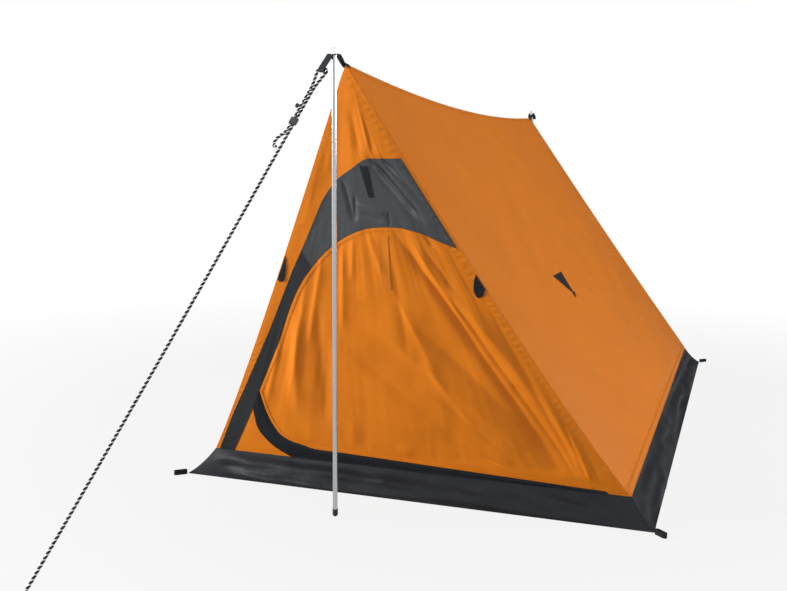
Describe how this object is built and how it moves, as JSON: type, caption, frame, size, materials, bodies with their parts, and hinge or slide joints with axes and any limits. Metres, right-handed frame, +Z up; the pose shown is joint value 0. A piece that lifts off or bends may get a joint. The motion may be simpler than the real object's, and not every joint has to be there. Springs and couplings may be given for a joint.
{
  "type": "mountaineering tent",
  "caption": "Ridge tent with a sewn-in floor, an arched zipped door in an overhanging front, outside poles and a front guyline.",
  "frame": {"origin": "on the ground under the centre of the tent's bounding box, the guyline left out", "axes": "+Y along the ridge from the door end to the rear, +X to the right of someone facing the door, +Z up"},
  "size_m": [1.2786, 3.1607, 1.0662],
  "materials": {
    "orange_cloth": "slightly shiny coated nylon",
    "black_cloth": "matt coated nylon",
    "black_webbing": "woven webbing",
    "pole_tube": "anodised, satin",
    "metal_fittings": "nickel plated",
    "black_plastic": "moulded, matt",
    "foot_rubber": "matt",
    "guyline_cord": "pale braid with black flecks"
  },
  "bodies": {
    "canopy": {"roof_panel_left": "orange_cloth", "roof_panel_right": "orange_cloth", "front_wall": "orange_cloth", "front_corner_gusset": "orange_cloth", "rear_wall": "orange_cloth", "front_arch_panel": "black_cloth", "door_zip_flap": "black_cloth", "skirt_front": "black_cloth", "skirt_left": "black_cloth", "skirt_right": "black_cloth", "skirt_rear": "black_cloth", "floor": "black_cloth", "zip_tape_wall": "black_cloth", "ridge_tape": "black_webbing", "front_strap": "black_webbing", "rear_strap": "black_webbing", "edge_patch_left": "black_webbing", "edge_patch_right": "black_webbing", "side_patch_left": "black_webbing", "side_patch_right": "black_webbing", "side_loop_left": "black_webbing", "side_loop_right": "black_webbing", "panel_strap": "black_webbing", "front_eyelet": "metal_fittings", "rear_eyelet": "metal_fittings", "guyline": "guyline_cord", "guyline_head_loop": "guyline_cord", "guyline_tail": "guyline_cord", "guyline_bead": "guyline_cord", "guyline_end_knot": "guyline_cord", "guyline_end_loop": "guyline_cord"},
    "door": {"door_panel": "orange_cloth", "zip_tape_door": "black_cloth", "door_tape": "orange_cloth"},
    "zip_slider": {"zip_slider": "metal_fittings"},
    "zip_pull": {"zip_pull": "metal_fittings"},
    "front_pole_upper": {"front_pole_upper": "pole_tube", "front_pole_tip": "pole_tube", "front_pole_spigot_middle": "pole_tube"},
    "front_pole_middle": {"front_pole_middle": "pole_tube", "front_pole_spigot_lower": "pole_tube"},
    "front_pole_lower": {"front_pole_lower": "pole_tube", "front_pole_foot": "foot_rubber"},
    "rear_pole_upper": {"rear_pole_upper": "pole_tube", "rear_pole_tip": "pole_tube", "rear_pole_spigot_middle": "pole_tube"},
    "rear_pole_middle": {"rear_pole_middle": "pole_tube", "rear_pole_spigot_lower": "pole_tube"},
    "rear_pole_lower": {"rear_pole_lower": "pole_tube", "rear_pole_foot": "foot_rubber"},
    "guyline_runner": {"guyline_runner": "black_plastic"},
    "side_ring_left": {"side_ring_left": "black_plastic"},
    "side_ring_right": {"side_ring_right": "black_plastic"},
    "corner_loop_front_left": {"corner_loop_front_left": "black_webbing"},
    "corner_loop_front_right": {"corner_loop_front_right": "black_webbing"},
    "corner_loop_rear_left": {"corner_loop_rear_left": "black_webbing"},
    "corner_loop_rear_right": {"corner_loop_rear_right": "black_webbing"}
  },
  "joints": [
    {"name": "door_swing", "type": "hinge", "parent": "canopy", "child": "door", "pos_m": [0.492, -0.90158, 0.07129], "axis": [0.47, 0.3183, -0.8233], "range_deg": [0, 70]},
    {"name": "zip_slide", "type": "slide", "parent": "door", "child": "zip_slider", "axis": [-0.9993, -0.0138, 0.0358], "range_m": [0, 0.66]},
    {"name": "zip_pull_swing", "type": "hinge", "parent": "zip_slider", "child": "zip_pull", "pos_m": [0.46902, -0.89667, 0.07413], "axis": [-0.0384, 0.3603, -0.932], "range_deg": [0, 150]},
    {"name": "front_pole_tilt", "type": "hinge", "parent": "canopy", "child": "front_pole_upper", "pos_m": [-0.04509, -1.29706, 1.05166], "axis": [1, 0, 0], "range_deg": [0, 7]},
    {"name": "front_pole_middle_pull", "type": "slide", "parent": "front_pole_upper", "child": "front_pole_middle", "axis": [-0.0656, 0.181, -0.9813], "range_m": [0, 0.045]},
    {"name": "front_pole_lower_pull", "type": "slide", "parent": "front_pole_middle", "child": "front_pole_lower", "axis": [-0.0656, 0.181, -0.9813], "range_m": [0, 0.045]},
    {"name": "rear_pole_tilt", "type": "hinge", "parent": "canopy", "child": "rear_pole_upper", "pos_m": [-0.06, 0.77406, 1.03855], "axis": [1, 0, 0], "range_deg": [0, 10]},
    {"name": "rear_pole_middle_pull", "type": "slide", "parent": "rear_pole_upper", "child": "rear_pole_middle", "axis": [0, 0.4751, -0.8799], "range_m": [0, 0.045]},
    {"name": "rear_pole_lower_pull", "type": "slide", "parent": "rear_pole_middle", "child": "rear_pole_lower", "axis": [0, 0.4751, -0.8799], "range_m": [0, 0.045]},
    {"name": "guyline_runner_slide", "type": "slide", "parent": "canopy", "child": "guyline_runner", "axis": [0.3587, 0.3718, 0.8562], "range_m": [-0.008, 0.02]},
    {"name": "side_ring_left_swing", "type": "hinge", "parent": "canopy", "child": "side_ring_left", "pos_m": [-0.33273, -0.18719, 0.45721], "axis": [-0.0076, 1, -0.0052], "range_deg": [0, 90]},
    {"name": "side_ring_right_swing", "type": "hinge", "parent": "canopy", "child": "side_ring_right", "pos_m": [0.28467, -0.18468, 0.45114], "axis": [-0.0052, -1, -0.0002], "range_deg": [0, 90]},
    {"name": "corner_loop_front_left_lift", "type": "hinge", "parent": "canopy", "child": "corner_loop_front_left", "pos_m": [-0.61228, -0.94728, 0], "axis": [-0.7071, 0.7071, 0], "range_deg": [0, 40]},
    {"name": "corner_loop_front_right_lift", "type": "hinge", "parent": "canopy", "child": "corner_loop_front_right", "pos_m": [0.61228, -0.94728, 0], "axis": [-0.7071, -0.7071, 0], "range_deg": [0, 40]},
    {"name": "corner_loop_rear_left_lift", "type": "hinge", "parent": "canopy", "child": "corner_loop_rear_left", "pos_m": [-0.61228, 1.25728, 0], "axis": [0.7071, 0.7071, 0], "range_deg": [0, 40]},
    {"name": "corner_loop_rear_right_lift", "type": "hinge", "parent": "canopy", "child": "corner_loop_rear_right", "pos_m": [0.61228, 1.25728, 0], "axis": [0.7071, -0.7071, 0], "range_deg": [0, 40]}
  ]
}
